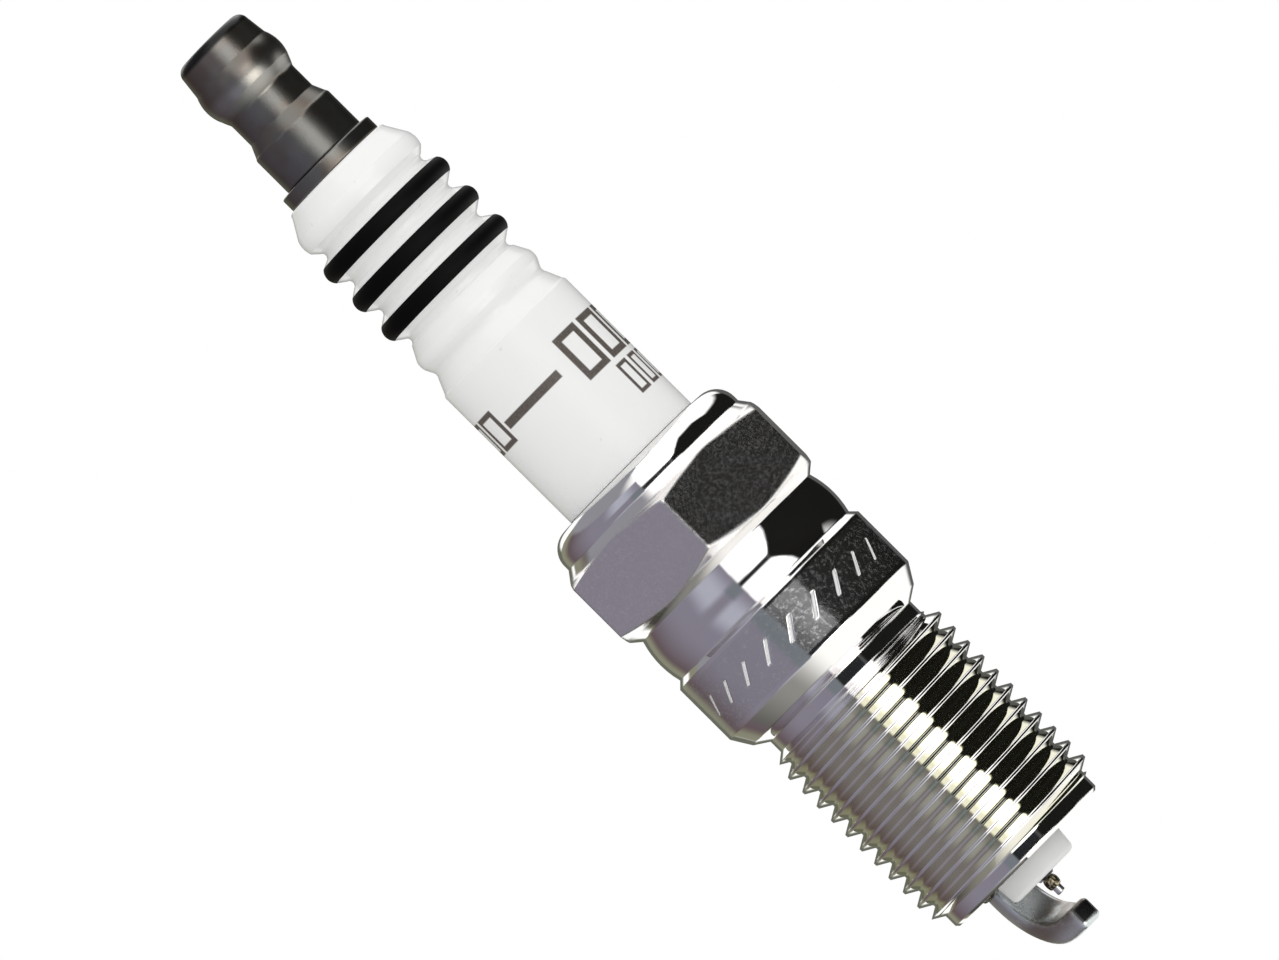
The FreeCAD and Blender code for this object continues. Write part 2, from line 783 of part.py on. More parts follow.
def build_ground_weld(doc, d, strap):
    """Upset metal round the strap's root, on the shell's end face."""
    block = doc.addObject("Part::Box", "weld_block")
    block.setExpression("Length", (d.strap_thick + d.weld_spread * 2).text)
    block.setExpression("Width", (d.strap_wide + d.weld_spread * 2).text)
    block.setExpression("Height", d.weld_tall.text)
    angle = DRIVING["strap_angle"]
    corner = Vector(
        DRIVING["strap_reach"] - DRIVING["strap_thick"] - DRIVING["weld_spread"],
        -DRIVING["strap_wide"] / 2 - DRIVING["weld_spread"],
        -DRIVING["thread_reach"] - DRIVING["weld_tall"],
    )
    turn = Rotation(Vector(0, 0, 1), angle)
    block.Placement = Placement(turn.multVec(corner), turn)
    radii = {
        "weld_rim": d.pilot_dia / 2 - d.weld_rim_inset,
        "weld_bore": d.lower_bore_dia / 2 + d.weld_bore_gap,
    }
    tube = {}
    for name, size in radii.items():
        tube[name] = doc.addObject("Part::Cylinder", name)
        tube[name].setExpression("Radius", size.text)
        tube[name].setExpression("Height", (d.weld_tall * 3).text)
        tube[name].setExpression("Placement.Base.z", (-d.thread_reach - d.weld_tall * 2).text)
    face = doc.addObject("Part::Common", "weld_on_face")
    face.Base = block
    face.Tool = tube["weld_rim"]
    hollow = doc.addObject("Part::Cut", "weld_hollow")
    hollow.Base = face
    hollow.Tool = tube["weld_bore"]
    weld = doc.addObject("Part::Cut", "ground_weld")
    weld.Base = hollow
    weld.Tool = strap
    weld.Label = "ground_weld"


NODES = [
    "shell", "insulator", "rib_ring_upper", "rib_ring_middle", "rib_ring_lower",
    "terminal_stud", "terminal_nut", "upper_glass_seal", "resistor_core", "lower_glass_seal",
    "electrode_sheath", "electrode_copper_core", "iridium_tip", "tip_weld_bead",
    "upper_packing_ring", "talc_fill", "lower_packing_ring", "seat_washer",
    "ground_electrode", "ground_weld",
]


def write_parts(doc):
    """Check every object and every sub-part, and only then write the STEP files."""
    for thing in doc.Objects:
        if "Invalid" in thing.State or "Error" in thing.State:
            raise RuntimeError(f"{thing.Label} failed: {thing.State}")
    shapes = {}
    for node in NODES:
        shape = doc.getObjectsByLabel(node)[0].Shape
        if shape.isNull() or not shape.isValid() or not shape.Solids:
            raise RuntimeError(f"{node} is not a valid solid")
        shapes[node] = shape
    os.makedirs("parts", exist_ok=True)
    for node, shape in shapes.items():
        shape.exportStep(f"parts/{node}.step")
        print(f"{node}: {shape.Volume:.3f} mm3, {len(shape.Solids)} solid(s)")


def main():
    doc = FreeCAD.newDocument("spark_plug")
    d = make_sheet(doc)
    build_shell(doc, d)
    build_insulator(doc, d)
    for label, centre in ring_levels(d).items():
        build_ring(doc, d, label, centre)
    stud = build_terminal_stud(doc, d)
    build_terminal_nut(doc, d)
    build_column(doc, d)
    build_upper_glass_seal(doc, d, stud)
    build_packing(doc, d)
    strap = build_ground_electrode(doc, d)
    build_ground_weld(doc, d, strap)
    doc.recompute()
    write_parts(doc)


main()
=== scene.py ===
import bmesh
import bpy
import math
from mathutils import Matrix, Vector


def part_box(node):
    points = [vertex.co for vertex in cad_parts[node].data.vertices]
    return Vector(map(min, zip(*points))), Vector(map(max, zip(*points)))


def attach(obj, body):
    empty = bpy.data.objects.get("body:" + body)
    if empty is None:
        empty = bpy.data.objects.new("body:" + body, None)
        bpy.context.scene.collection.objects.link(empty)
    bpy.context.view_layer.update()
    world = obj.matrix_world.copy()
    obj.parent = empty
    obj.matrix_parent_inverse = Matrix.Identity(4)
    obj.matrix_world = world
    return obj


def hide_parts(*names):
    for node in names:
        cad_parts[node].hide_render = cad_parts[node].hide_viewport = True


# Looks of the spark plug. Lengths are in metres, and the plug's axis is Z, with the terminal up.
# The camera looks from near -Y. In what follows "across" is the turn round Z, in degrees, away
# from the camera's side, positive towards +X, and "rise" is the angle above the horizon.

MM = 0.001

# camera: angles in degrees, lens and sensor in millimetres
CAMERA_AZIMUTH = -88.0
CAMERA_RISE = -1.0
CAMERA_ROLL = 45.13
CAMERA_LENS = 600.0
SENSOR = 36.0
VIEW_WIDTH = 78.98 * MM
AIM_LEVEL = 15.625 * MM
AIM_RIGHT = -0.485 * MM
AIM_UP = -0.04 * MM
CLIP_START = 0.01
CLIP_END = 50

FLOOR_LEVEL = -45 * MM
FLOOR_RADIUS = 250 * MM
FLOOR_SIDES = 96

# studio: pairs are where an edge starts and ends, in degrees
LEFT_WALL = (-154, -9)
RIGHT_FLAG = (30, 154)
WALL_SOFT = 2.5                 # half width of the walls' edges
PANEL_LEFT = (-11, -7)
PANEL_RIGHT = 27.0              # the panels' right edge at the horizon
PANEL_GAP = (1.5, 4.6)          # dark gap between the two panels
HOT_SPOT = (5, 38)              # the brighter middle of the panels
SIDE_START = (82, 100)          # from here on the light from above and below reaches lower
ABOVE = (33, 41)
BELOW = (30, 38)
LAMP_ASIDE = math.radians(25)   # how far to the right the soft light is brightest

# zones of the shell: levels and radii in millimetres
COLLAR = (0.95, 4.75)
HEXAGON = (9.0, 14.7)
THREADED = (-16.5, -2.9)
TURNED_ABOVE = (4.8, 5.2)
FLAT_RADII = (7.6, 7.85)
STAMPED_HIGHLIGHT_RADII = (7.6, 7.74)
ROOT_RADII = (6.75, 6.90)

THREAD_PITCH = 1.25             # millimetres
CREST_PHASE = 0.342             # where the crest passes the camera's side, in turns
THREAD_SWELL = 0.028 * MM       # how far the rolled flanks are from flat
CREST_SWELL = 0.045 * MM        # rounding of the crests
CREST_START = 0.80              # height of the wave where the crest's rounding begins

# ceramic and terminal, in millimetres
BODY_RADIUS = 5.25
PRINT_RADII = (5.15, 5.2)
PRINT_SOFT = 0.05
BOX_MARGIN = 0.12
NOSE = (-8.0, -7.0)
BULGE = (49.5, 50.8)
TERMINAL_TOP_SHADE = (53.2, 53.5)

STRAP_TURN = math.radians(118.0)
SHELL_END = -17.5 * MM
STRAP_OUTSIDE = -23.18 * MM
STRAP_REACH = 5.9 * MM
STRAP_THICK = 1.6 * MM
STRAP_WIDE = 2.6 * MM
STRAP_BEND = 4.8 * MM
STRAP_END = -0.35 * MM
TAPER_START = 2.4 * MM
TAPER_FOOT = -0.85 * MM
TAPER_RATIO = 1.4 / 2.6
BEND_STEPS = 14
ARM_STEPS = 4
SHARP_EDGE = math.radians(50)
STRAP_EDGE = 0.36 * MM
EDGE_SEGMENTS = 4
FLAT_WEIGHT = 80
MERGE_DISTANCE = 0.001 * MM

# upset metal at the strap's root: across, aside and radius of each pair of beads, in millimetres
WELD_BEADS = [(0.72, 1.28, 0.34), (0.30, 1.36, 0.30), (-0.15, 1.33, 0.33), (-0.58, 1.26, 0.27)]
BEAD_WIDE = 0.85
BEAD_TALL = 0.62
BEAD_TALLER = 0.2               # how much taller a bead is for each unit outwards
BEAD_SPREAD = 0.8

# weld round the fine wire, in parts of the CAD bead's radius and height
RING_WALL = 0.62
RING_TALL = 0.98
RING_MIDDLE = 0.66
RING_SIDES = 20
RING_STEPS = 56
RING_SWELL = 0.97
RIPPLE, RIPPLES, RIPPLE_START = 0.03, 9, 1.0
LUMP, LUMPS, LUMP_TWIST = 0.02, 16, 7


class Graph:
    """Wires shader nodes. A value is a number, a colour or another node's socket."""

    def __init__(self, tree):
        self.tree = tree
        tree.nodes.clear()

    def add(self, kind, **settings):
        node = self.tree.nodes.new(kind)
        for name, value in settings.items():
            setattr(node, name, value)
        return node

    def feed(self, socket, value):
        if isinstance(value, bpy.types.NodeSocket):
            self.tree.links.new(value, socket)
        else:
            socket.default_value = value

    def math(self, operation, *values):
        node = self.add("ShaderNodeMath", operation=operation)
        for socket, value in zip(node.inputs, values):
            self.feed(socket, value)
        return node.outputs[0]

    def product(self, *values):
        result = values[0]
        for value in values[1:]:
            result = self.math("MULTIPLY", result, value)
        return result

    def inverse(self, value):
        return self.math("SUBTRACT", 1.0, value)

    def union(self, *values):
        result = values[0]
        for value in values[1:]:
            result = self.math("MAXIMUM", result, value)
        return result

    def rise(self, value, low, high):
        """0 below low, 1 above high, smooth between."""
        node = self.add("ShaderNodeMapRange", interpolation_type="SMOOTHSTEP")
        self.feed(node.inputs["Value"], value)
        node.inputs["From Min"].default_value = low
        node.inputs["From Max"].default_value = high
        return node.outputs["Result"]

    def band(self, value, low, high, soft):
        """1 between low and high, with edges that are soft wide on each side."""
        starts = self.rise(value, low - soft, low + soft)
        ends = self.rise(value, high - soft, high + soft)
        return self.math("SUBTRACT", starts, ends)

    def scale_to(self, value, low, high):
        """Maps 0 to 1 onto low to high."""
        node = self.add("ShaderNodeMapRange")
        self.feed(node.inputs["Value"], value)
        node.inputs["To Min"].default_value = low
        node.inputs["To Max"].default_value = high
        return node.outputs["Result"]

    def mix(self, factor, first, second):
        """First colour where factor is 0, second where it is 1."""
        node = self.add("ShaderNodeMix", data_type="RGBA")
        self.feed(node.inputs["Factor"], factor)
        colors = [socket for socket in node.inputs if socket.type == "RGBA"]
        for socket, value in zip(colors, (first, second)):
            self.feed(socket, (*value, 1.0) if isinstance(value, tuple) else value)
        return next(socket for socket in node.outputs if socket.type == "RGBA")

    def noise(self, vector, per_mm, detail=3.0, roughness=0.55):
        """Cloudy pattern from 0 to 1, with per_mm clouds in a millimetre."""
        node = self.add("ShaderNodeTexNoise")
        self.feed(node.inputs["Vector"], vector)
        node.inputs["Scale"].default_value = per_mm / MM
        node.inputs["Detail"].default_value = detail
        node.inputs["Roughness"].default_value = roughness
        return node.outputs["Fac"]

    def stretch(self, vector, x, y, z):
        node = self.add("ShaderNodeMapping")
        self.feed(node.inputs["Vector"], vector)
        node.inputs["Scale"].default_value = (x, y, z)
        return node.outputs["Vector"]

    def bump(self, height, depth, normal=None):
        """Bump whose full height is depth, in metres."""
        node = self.add("ShaderNodeBump")
        node.inputs["Strength"].default_value = 1.0
        node.inputs["Distance"].default_value = depth
        self.feed(node.inputs["Height"], height)
        if normal is not None:
            self.feed(node.inputs["Normal"], normal)
        return node.outputs["Normal"]

    def edge_round(self, radius, samples=6):
        """Normals that look as if edges were rounded to radius."""
        node = self.add("ShaderNodeBevel", samples=samples)
        self.feed(node.inputs["Radius"], radius)
        return node.outputs["Normal"]


class Material(Graph):
    """A material with one principled surface, painted in the object's own coordinates."""

    def __init__(self, name, metallic=0.0, **fixed):
        self.block = bpy.data.materials.new(name)
        self.block.use_nodes = True
        super().__init__(self.block.node_tree)
        self.surface = self.add("ShaderNodeBsdfPrincipled")
        output = self.add("ShaderNodeOutputMaterial")
        self.feed(output.inputs["Surface"], self.surface.outputs[0])
        self.surface.inputs["Metallic"].default_value = metallic
        for socket, value in fixed.items():
            self.surface.inputs[socket.replace("_", " ")].default_value = value
        self.place = self.add("ShaderNodeTexCoord").outputs["Object"]
        parts = self.add("ShaderNodeSeparateXYZ")
        self.feed(parts.inputs[0], self.place)
        self.x, self.y, self.level = [self.math("MULTIPLY", socket, 1 / MM) for socket in parts.outputs]
        self.radius = self.math("SQRT", self.math(
            "ADD", self.math("POWER", self.x, 2.0), self.math("POWER", self.y, 2.0)))

    def turn(self):
        """Angle round the axis in radians, 0 at -Y and positive towards +X."""
        return self.math("ARCTAN2", self.x, self.math("MULTIPLY", self.y, -1.0))

    def set(self, **values):
        for name, value in values.items():
            socket = self.surface.inputs[name.replace("_", " ")]
            self.feed(socket, (*value, 1.0) if isinstance(value, tuple) else value)


# --- camera, floor and light ---------------------------------------------------------------

def aim_camera():
    """Long lens, nearly side on, rolled so that the plug lies from upper left to lower right."""
    azimuth = math.radians(CAMERA_AZIMUTH)
    rise = math.radians(CAMERA_RISE)
    toward = Vector((
        math.cos(azimuth) * math.cos(rise),
        math.sin(azimuth) * math.cos(rise),
        math.sin(rise),
    ))
    level = Vector((0, 0, 1)).cross(toward).normalized()
    upright = toward.cross(level).normalized()
    roll = math.radians(CAMERA_ROLL)
    right = level * math.cos(roll) - upright * math.sin(roll)
    up = level * math.sin(roll) + upright * math.cos(roll)
    data = bpy.data.cameras.new("camera")
    data.lens = CAMERA_LENS
    data.sensor_width = SENSOR
    data.clip_start = CLIP_START
    data.clip_end = CLIP_END
    distance = VIEW_WIDTH * CAMERA_LENS / SENSOR
    target = Vector((0, 0, AIM_LEVEL)) + right * AIM_RIGHT + up * AIM_UP
    camera = bpy.data.objects.new("camera", data)
    turned = Matrix((right, up, toward)).transposed().to_4x4()
    camera.matrix_world = Matrix.Translation(target + toward * distance) @ turned
    bpy.context.scene.collection.objects.link(camera)
    bpy.context.scene.camera = camera


def lay_floor():
    """Pale round floor under the plug, left out of reflections."""
    shape = bmesh.new()
    bmesh.ops.create_circle(shape, cap_ends=True, segments=FLOOR_SIDES, radius=FLOOR_RADIUS,
                            matrix=Matrix.Translation((0, 0, FLOOR_LEVEL)))
    mesh = bpy.data.meshes.new("floor")
    shape.to_mesh(mesh)
    shape.free()
    floor = bpy.data.objects.new("floor", mesh)
    bpy.context.scene.collection.objects.link(floor)
    paint = Material("pale_floor", Roughness=0.7)
    grain = paint.noise(paint.place, 0.05)
    paint.set(Base_Color=paint.mix(grain, (0.80, 0.80, 0.79), (0.84, 0.84, 0.83)))
    mesh.materials.append(paint.block)
    floor.visible_glossy = False


def studio_angles(g):
    """Direction of a ray: its parts ahead and aside, then its turn across and rise in degrees."""
    direction = g.add("ShaderNodeSeparateXYZ")
    g.feed(direction.inputs[0], g.add("ShaderNodeTexCoord").outputs["Generated"])
    x, y, z = direction.outputs
    azimuth = math.radians(CAMERA_AZIMUTH)
    ahead = g.math("ADD", g.math("MULTIPLY", x, math.cos(azimuth)),
                   g.math("MULTIPLY", y, math.sin(azimuth)))
    aside = g.math("ADD", g.math("MULTIPLY", x, -math.sin(azimuth)),
                   g.math("MULTIPLY", y, math.cos(azimuth)))
    across = g.math("MULTIPLY", g.math("ARCTAN2", aside, ahead), math.degrees(1))
    rise = g.math("MULTIPLY", g.math("ARCSINE", z), math.degrees(1))
    return ahead, aside, across, rise


def back_wall(g, aside, tilt):
    """White wall behind the plug, with a dim band along the horizon."""
    dim = g.mix(g.rise(aside, -0.2, 0.2), (0.15, 0.155, 0.12), (0.11, 0.11, 0.11))
    return g.mix(g.rise(tilt, 13, 19), dim, (1.25, 1.25, 1.24))


def left_wall(g, color, across, tilt):
    """Dim lilac wall, a little lighter off the horizon and browner towards the back."""
    wall = g.mix(g.rise(across, -150, -75), (0.115, 0.075, 0.075), (0.25, 0.235, 0.29))
    off_horizon = g.rise(tilt, 2.0, 12.0)
    wall = g.mix(g.product(off_horizon, g.band(across, -52, -20, 12)), wall, (0.46, 0.47, 0.56))
    horizon = g.inverse(g.rise(tilt, 3.0, 12.0))
    wall = g.mix(g.product(g.band(across, -24, -9, 3), horizon), wall, (0.19, 0.215, 0.24))
    wall = g.mix(g.inverse(g.rise(across, -146, -128)), wall, (0.27, 0.27, 0.20))
    return g.mix(g.band(across, *LEFT_WALL, WALL_SOFT), color, wall)


def front_panels(g, color, across, rise, tilt):
    """Two white panels, one over the other, with a narrow dark gap between them."""
    spread = g.scale_to(g.rise(rise, -3, 3), 1.15, 0.8)
    edge = g.math("ADD", PANEL_RIGHT, g.math("MULTIPLY", tilt, spread))
    past_edge = g.rise(g.math("SUBTRACT", across, edge), -WALL_SOFT, WALL_SOFT)
    inside = g.math("MULTIPLY", g.rise(across, *PANEL_LEFT), g.inverse(past_edge))
    panel = g.mix(g.rise(tilt, *PANEL_GAP), (0.020, 0.022, 0.024), (1.35, 1.35, 1.38))
    middle = g.band(across, *HOT_SPOT, 7)
    panel = g.mix(g.product(middle, g.band(rise, 4, 16, 3)), panel, (3.4, 3.4, 3.4))
    panel = g.mix(g.product(middle, g.band(rise, -30, -9, 4)), panel, (4.0, 3.9, 3.5))
    return g.mix(inside, color, panel)


def above_and_below(g, color, across, rise):
    """Light from above and below, which reaches closer to the horizon at the sides."""
    beyond = g.rise(across, *SIDE_START)
    over = g.rise(g.math("ADD", rise, g.math("MULTIPLY", beyond, 14.0)), *ABOVE)
    above = g.mix(g.rise(across, -40, -5), (0.30, 0.30, 0.33), (1.3, 1.3, 1.28))
    color = g.mix(over, color, above)
    under = g.rise(g.math("SUBTRACT", g.math("MULTIPLY", beyond, 20.0), rise), *BELOW)
    below = g.mix(g.rise(across, -60, 10), (0.30, 0.30, 0.28), (1.2, 1.2, 1.16))
    below = g.mix(g.rise(across, -150, -60), (0.06, 0.06, 0.05), below)
    return g.mix(under, color, below)


def choose_light(g, ray, otherwise, chosen):
    """The chosen light for one kind of ray, and otherwise the other one."""
    choice = g.add("ShaderNodeMixShader")
    g.feed(choice.inputs[0], ray)
    g.feed(choice.inputs[1], otherwise)
    g.feed(choice.inputs[2], chosen)
    return choice.outputs[0]


def light_studio():
    """White room. Shiny surfaces see panels and dark flags in it, the rest sees soft light."""
    world = bpy.data.worlds.new("studio")
    bpy.context.scene.world = world
    world.use_nodes = True
    g = Graph(world.node_tree)
    ahead, aside, across, rise = studio_angles(g)
    tilt = g.math("ABSOLUTE", rise)
    color = back_wall(g, aside, tilt)
    color = left_wall(g, color, across, tilt)
    color = g.mix(g.band(across, *RIGHT_FLAG, WALL_SOFT), color, (0.010, 0.010, 0.009))
    color = front_panels(g, color, across, rise, tilt)
    color = above_and_below(g, color, across, rise)
    glossy = g.add("ShaderNodeBackground")
    g.feed(glossy.inputs["Color"], color)

    # soft light for surfaces that scatter: brightest a little towards +X from the camera's side
    lamp = g.math("ADD", g.math("MULTIPLY", ahead, math.cos(LAMP_ASIDE)),
                  g.math("MULTIPLY", aside, math.sin(LAMP_ASIDE)))
    scatter = g.add("ShaderNodeBackground")
    scatter.inputs["Color"].default_value = (1, 1, 1, 1)
    g.feed(scatter.inputs["Strength"], g.math("ADD", g.math("MULTIPLY", lamp, 0.38), 0.86))

    backdrop = g.add("ShaderNodeBackground")
    backdrop.inputs["Color"].default_value = (1, 1, 1, 1)
    seen = g.add("ShaderNodeLightPath").outputs
    lit = choose_light(g, seen["Is Glossy Ray"], scatter.outputs[0], glossy.outputs[0])
    whole = choose_light(g, seen["Is Camera Ray"], lit, backdrop.outputs[0])
    output = g.add("ShaderNodeOutputWorld")
    g.feed(output.inputs["Surface"], whole)


# --- materials -----------------------------------------------------------------------------

def thread_wave(m):
    """Wave along the thread's helix, 1 on the crest line and -1 in the root."""
    levels = m.math("MULTIPLY", m.level, 1 / THREAD_PITCH)
    winding = m.math("SUBTRACT", levels, m.math("MULTIPLY", m.turn(), 1 / math.tau))
    return m.math("COSINE", m.math("MULTIPLY", m.math("SUBTRACT", winding, CREST_PHASE), math.tau))


def shell_plating():
    """Nickel plate over turned and milled steel, with a stamped row on the dull collar painted near white
    as a painted highlight.
    """
    m = Material("shell_plating")
    collar = m.band(m.level, *COLLAR, 0.08)
    milled = m.product(m.band(m.level, *HEXAGON, 0.3), m.rise(m.radius, *FLAT_RADII))
    threaded = m.band(m.level, *THREADED, 0.1)
    # painted highlight: the stamped strokes are painted near white and barely metallic, where the stamped
    # marks catch light
    stroke = m.product(collar, m.band(m.radius, *STAMPED_HIGHLIGHT_RADII, 0.02))
    grain = m.noise(m.place, 5.0, 4.0, 0.7)
    speck = m.rise(m.noise(m.place, 3.6, 4.0, 0.75), 0.50, 0.68)
    cloud = m.noise(m.place, 0.35, 2.0)
    turning = m.noise(m.stretch(m.place, 0.02, 0.02, 1.0), 14.0, 2.0, 0.6)
    rings = m.product(turning, m.rise(m.level, *TURNED_ABOVE))
    root = m.product(threaded, m.inverse(m.rise(m.radius, *ROOT_RADII)))

    tone = m.mix(cloud, (0.84, 0.82, 0.81), (0.89, 0.88, 0.88))
    tone = m.mix(m.product(milled, grain, 0.6), tone, (0.70, 0.67, 0.66))
    tone = m.mix(root, tone, (0.86, 0.85, 0.76))
    tone = m.mix(m.product(collar, m.scale_to(speck, 0.35, 0.8)), tone, (0.60, 0.61, 0.61))
    m.set(Base_Color=m.mix(stroke, tone, (0.95, 0.95, 0.95)))
    worn_flats = m.product(milled, m.rise(grain, 0.42, 0.72), 0.075)
    worn = m.math("ADD", worn_flats, m.product(collar, speck, 0.12))
    m.set(Metallic=m.math("SUBTRACT", m.scale_to(stroke, 1.0, 0.1), worn))
    rough = m.scale_to(cloud, 0.025, 0.05)
    rough = m.math("ADD", rough, m.product(collar, m.scale_to(speck, 0.07, 0.13)))
    m.set(Roughness=m.math("ADD", rough, m.product(milled, m.scale_to(grain, 0.03, 0.16))))

    pitted = m.product(collar, m.math("ADD", speck, grain), 0.13)
    height = m.math("ADD", pitted, m.product(milled, grain, 0.6))
    # no rounding by radius in the thread, whose own wave rounds it
    rounding = m.math("ADD", m.product(milled, 0.2 * MM), m.scale_to(threaded, 0.15 * MM, 0.0))
    normal = m.bump(height, 0.0035 * MM, m.edge_round(rounding, 8))
    wave = thread_wave(m)
    crest = m.math("MULTIPLY", m.rise(wave, CREST_START, 1.0), CREST_SWELL)
    rolled = m.math("ADD", m.math("MULTIPLY", wave, THREAD_SWELL / 2), crest)
    normal = m.bump(m.product(threaded, rolled), 1.0, normal)
    m.set(Normal=m.bump(rings, 0.0004 * MM, normal))
    return m.block


def frame_mark(m, along, low, high, left, pitch, count, wide, stroke):
    """Row of plain upright boxes drawn as outlines, from left in steps of pitch."""
    inside = m.band(along, left, left + pitch * count, PRINT_SOFT)
    step = m.math("FLOORED_MODULO", m.math("SUBTRACT", along, left), pitch)
    outer = m.product(m.band(step, BOX_MARGIN, BOX_MARGIN + wide, PRINT_SOFT),
                      m.band(m.level, low, high, PRINT_SOFT))
    inner = m.product(m.band(step, BOX_MARGIN + stroke, BOX_MARGIN + wide - stroke, PRINT_SOFT),
                      m.band(m.level, low + stroke, high - stroke, PRINT_SOFT))
    return m.product(inside, outer, m.inverse(inner))


def ceramic_glaze():
    """Glossy white glaze with generic printed marks, and the unglazed nose."""
    m = Material("ceramic_glaze", Specular_IOR_Level=0.3, Coat_Weight=0.12, Coat_Roughness=0.08,
                 Subsurface_Weight=0.15, Subsurface_Radius=(0.6 * MM, 0.6 * MM, 0.55 * MM),
                 Subsurface_Scale=1.0)
    arc = m.math("MULTIPLY", m.turn(), BODY_RADIUS)
    boxes = frame_mark(m, arc, low=22.3, high=25.7, left=1.95, pitch=2.45, count=3, wide=2.1, stroke=0.46)
    small = frame_mark(m, arc, low=19.5, high=21.9, left=4.0, pitch=1.5, count=4, wide=1.15, stroke=0.26)
    pair = frame_mark(m, arc, low=22.9, high=25.5, left=-8.6, pitch=2.3, count=2, wide=1.95, stroke=0.36)
    bar = m.product(m.band(arc, -4.0, 1.0, 0.06), m.band(m.level, 23.7, 24.3, PRINT_SOFT))
    ink = m.union(boxes, small, pair, bar)
    worn = m.scale_to(m.noise(m.place, 6.0, 3.0, 0.7), 0.86, 1.0)
    ink = m.product(ink, worn, m.rise(m.radius, *PRINT_RADII))
    cloud = m.noise(m.place, 0.25, 2.0)
    white = m.mix(cloud, (0.875, 0.875, 0.865), (0.90, 0.90, 0.89))
    speck = m.rise(m.noise(m.place, 2.2, 1.0, 0.5), 0.74, 0.80)
    white = m.mix(m.product(speck, 0.25), white, (0.55, 0.52, 0.47))
    bare = m.inverse(m.rise(m.level, *NOSE))
    white = m.mix(bare, white, (0.94, 0.94, 0.93))
    m.set(Base_Color=m.mix(ink, white, (0.055, 0.036, 0.026)))
    rough = m.math("ADD", m.scale_to(cloud, 0.18, 0.24), m.product(ink, 0.2))
    m.set(Roughness=m.math("ADD", rough, m.product(bare, 0.4)))
    ripple = m.noise(m.place, 0.5, 2.0)
    m.set(Normal=m.bump(m.math("ADD", ripple, m.product(ink, 0.35)), 0.010 * MM))
    return m.block


def ring_rubber():
    """Dull black bands on the ribs."""
    m = Material("ring_rubber", Specular_IOR_Level=0.08)
    grain = m.noise(m.place, 9.0, 3.0)
    m.set(Base_Color=m.mix(grain, (0.0008, 0.0008, 0.0008), (0.003, 0.0025, 0.0025)))
    m.set(Roughness=m.scale_to(grain, 0.45, 0.65))
    m.set(Normal=m.bump(grain, 0.006 * MM))
    return m.block


def terminal_plating():
    """Dark satin plate with brownish clouds and fine turning rings, with a painted highlight on the bulge
    and painted shade on the top.
    """
    m = Material("terminal_plating", metallic=1.0)
    cloud = m.noise(m.place, 0.45, 3.0, 0.6)
    patch = m.rise(m.noise(m.place, 0.30, 2.0), 0.45, 0.65)
    rings = m.noise(m.stretch(m.place, 0.02, 0.02, 1.0), 12.0, 3.0, 0.6)
    grain = m.noise(m.place, 10.0, 3.0)
    tone = m.mix(cloud, (0.15, 0.15, 0.14), (0.23, 0.225, 0.21))
    tone = m.mix(m.product(patch, 0.6), tone, (0.18, 0.14, 0.11))
    # painted highlight: the bulge is painted lighter so that its highlight shows brighter
    bulge_highlight = m.product(m.band(m.level, *BULGE, 0.4), 0.75)
    tone = m.mix(bulge_highlight, tone, (0.34, 0.335, 0.32))
    # painted shade: the top of the terminal is painted nearly black, to darken the highlight on its dome
    m.set(Base_Color=m.mix(m.rise(m.level, *TERMINAL_TOP_SHADE), tone, (0.03, 0.03, 0.03)))
    m.set(Roughness=m.scale_to(m.math("MULTIPLY", m.math("ADD", grain, cloud), 0.5), 0.22, 0.38))
    normal = m.bump(rings, 0.003 * MM, m.edge_round(0.12 * MM))
    m.set(Normal=m.bump(grain, 0.004 * MM, normal))
    return m.block


def nickel_alloy():
    """Satin nickel alloy, with painted shade in a brown band at the strap's bend, and the strap's end face
    painted nearly black as painted shade.
    """
    m = Material("nickel_alloy")
    cloud = m.noise(m.place, 0.6, 3.0, 0.6)
    grain = m.noise(m.stretch(m.place, 1.0, 1.0, 0.25), 9.0, 3.0, 0.6)
    # painted shade: a brown band at the bend, painted darker to dull the highlight there
    bend_shade = m.product(m.band(m.level, -22.3, -20.4, 0.6), m.rise(cloud, 0.30, 0.50))
    along = m.math("ADD", m.math("MULTIPLY", m.x, math.cos(STRAP_TURN)),
                   m.math("MULTIPLY", m.y, math.sin(STRAP_TURN)))
    # painted shade: the strap's end face is painted nearly black
    end_face_shade = m.product(m.inverse(m.rise(along, -0.32, -0.24)), m.rise(m.level, -22.85, -22.7))
    tone = m.mix(cloud, (0.60, 0.65, 0.66), (0.74, 0.76, 0.79))
    tone = m.mix(m.product(bend_shade, 0.85), tone, (0.28, 0.235, 0.21))
    m.set(Base_Color=m.mix(m.product(end_face_shade, 0.95), tone, (0.012, 0.011, 0.012)))
    m.set(Metallic=m.scale_to(cloud, 0.80, 0.92))
    m.set(Roughness=m.scale_to(grain, 0.22, 0.36))
    m.set(Normal=m.bump(grain, 0.003 * MM, m.edge_round(0.06 * MM)))
    return m.block


def plain_metal(name, low, high, rough, grain_depth):
    """Metal with fine grain and a little change of tone."""
    m = Material(name, metallic=1.0)
    grain = m.noise(m.place, 8.0, 4.0, 0.6)
    m.set(Base_Color=m.mix(m.noise(m.place, 1.0, 2.0), low, high))
    m.set(Roughness=m.scale_to(grain, *rough))
    m.set(Normal=m.bump(grain, grain_depth))
    return m.block


